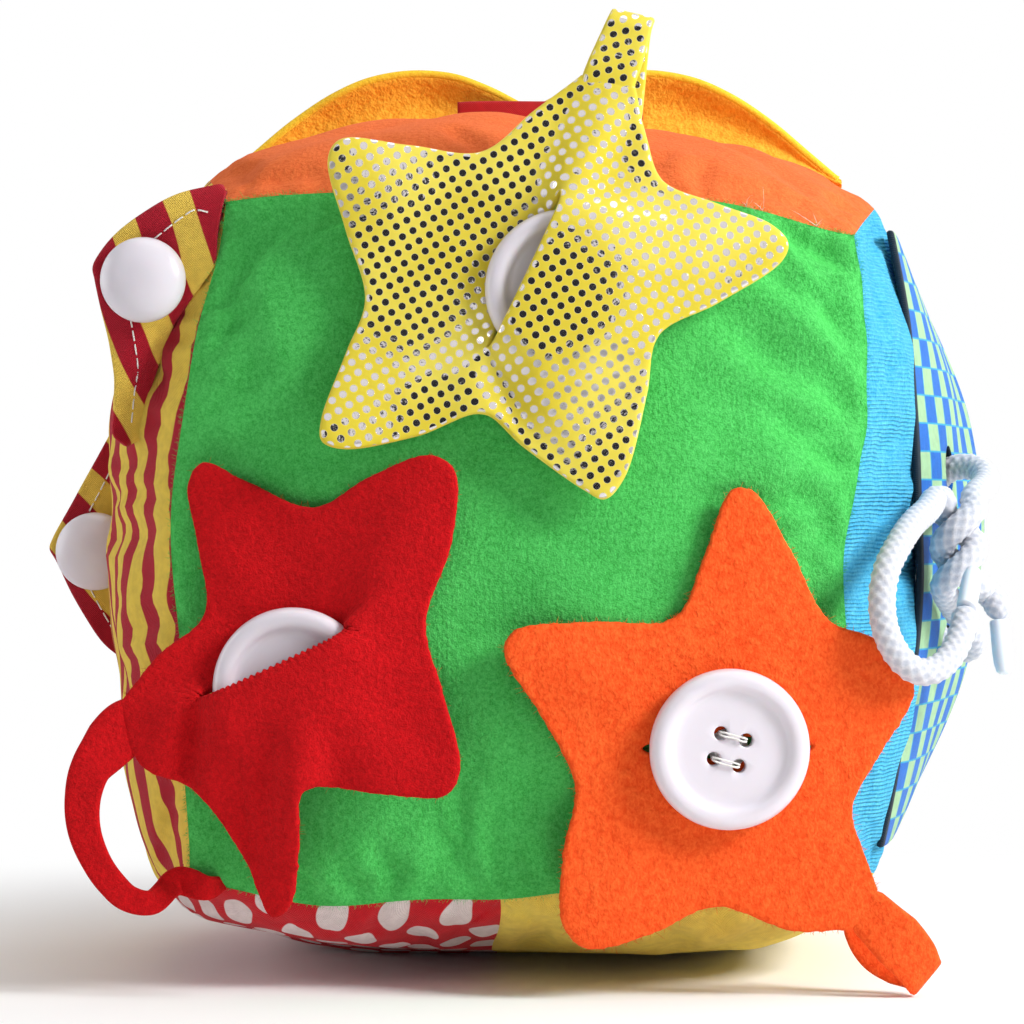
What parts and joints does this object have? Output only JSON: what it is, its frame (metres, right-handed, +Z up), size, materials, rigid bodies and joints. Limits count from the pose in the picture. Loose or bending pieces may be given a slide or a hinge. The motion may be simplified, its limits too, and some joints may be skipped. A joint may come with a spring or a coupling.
{
  "type": "fabric activity block",
  "caption": "Stuffed fabric block with buttoned cloth stars on straps, striped tabs with dome buttons, folding petals and a laced band that stands off one side.",
  "frame": {"origin": "on the floor, under the middle of the block, on the flat part of its underside", "axes": "+Z up; the green front with the three stars faces -Y; +X is to the right as the front is seen"},
  "size_m": [0.2447, 0.1931, 0.2254],
  "materials": {
    "filling": "white polyester fibre",
    "green_velour": "short green velour pile",
    "plain_red": "plain red woven cotton",
    "striped_cotton": "woven cotton with red and yellow stripes",
    "blue_velour": "short light blue pile",
    "orange_cotton": "orange woven cotton",
    "dotted_cotton": "red woven cotton with pale dots",
    "yellow_cotton": "yellow woven cotton",
    "glitter_cloth": "yellow cloth with small round foil dots",
    "red_velour": "dense red velour pile",
    "orange_felt": "orange felt",
    "dark_red_cotton": "dark red woven cotton",
    "petal_felt": "yellow-orange cloth",
    "check_ribbon": "woven ribbon with blue and pale green checks",
    "cord": "white braided cord",
    "cord_tip": "smooth bluish white plastic",
    "button": "glossy white plastic",
    "thread": "white sewing thread"
  },
  "bodies": {
    "block": {"stuffing_core": "filling", "front_panel": "green_velour", "back_panel": "plain_red", "left_panel": "striped_cotton", "right_panel": "blue_velour", "top_panel": "orange_cotton", "bottom_dotted_panel": "dotted_cotton", "bottom_yellow_panel": "yellow_cotton", "petal_band": "plain_red", "lacing_band": "check_ribbon", "upper_lace": "cord", "lower_lace": "cord", "upper_lace_tip": "cord_tip", "lower_lace_tip": "cord_tip", "yellow_star_strap": "glitter_cloth", "red_star_strap": "red_velour", "orange_star_strap": "orange_felt", "yellow_star_button": "button", "red_star_button": "button", "orange_star_button": "button", "yellow_star_thread": "thread", "red_star_thread": "thread", "orange_star_thread": "thread"},
    "yellow_star": {"yellow_star": "glitter_cloth"},
    "red_star": {"red_star": "red_velour"},
    "orange_star": {"orange_star": "orange_felt"},
    "upper_tab": {"upper_tab": "striped_cotton", "upper_tab_backing": "dark_red_cotton", "upper_dome_button": "button"},
    "lower_tab": {"lower_tab": "striped_cotton", "lower_tab_backing": "dark_red_cotton", "lower_dome_button": "button"},
    "left_petal": {"left_petal": "petal_felt"},
    "right_petal": {"right_petal": "petal_felt"}
  },
  "joints": [
    {"name": "yellow_star_swivel", "type": "hinge", "parent": "block", "child": "yellow_star", "pos_m": [0.0072, -0.09, 0.1626], "axis": [0, -0.9954, 0.0958], "range_deg": [-5, 5], "deforming": ["yellow_star_strap"]},
    {"name": "red_star_swivel", "type": "hinge", "parent": "block", "child": "red_star", "pos_m": [-0.0549, -0.09, 0.0717], "axis": [-0.1045, -0.9945, 0], "range_deg": [-5, 5], "deforming": ["red_star_strap"]},
    {"name": "orange_star_swivel", "type": "hinge", "parent": "block", "child": "orange_star", "pos_m": [0.0441, -0.0895, 0.058], "axis": [0.0872, -0.9956, -0.0348], "range_deg": [-5, 5], "deforming": ["orange_star_strap"]},
    {"name": "upper_tab_hinge", "type": "hinge", "parent": "block", "child": "upper_tab", "pos_m": [-0.0846, -0.0723, 0.152], "axis": [-0.114, 0, -0.9935], "range_deg": [-5, 20], "stiffness_Nm_per_rad": 0.003},
    {"name": "lower_tab_hinge", "type": "hinge", "parent": "block", "child": "lower_tab", "pos_m": [-0.102, 0.0078, 0.108], "axis": [0, 0, -1], "range_deg": [-4, 20], "stiffness_Nm_per_rad": 0.003},
    {"name": "left_petal_fold", "type": "hinge", "parent": "block", "child": "left_petal", "pos_m": [-0.0415, 0.014, 0.2067], "axis": [0.9884, 0, 0.1521], "range_deg": [-40, 0], "stiffness_Nm_per_rad": 0.002},
    {"name": "right_petal_fold", "type": "hinge", "parent": "block", "child": "right_petal", "pos_m": [0.0415, 0.014, 0.2067], "axis": [0.9884, 0, -0.1521], "range_deg": [-40, 0], "stiffness_Nm_per_rad": 0.002}
  ]
}
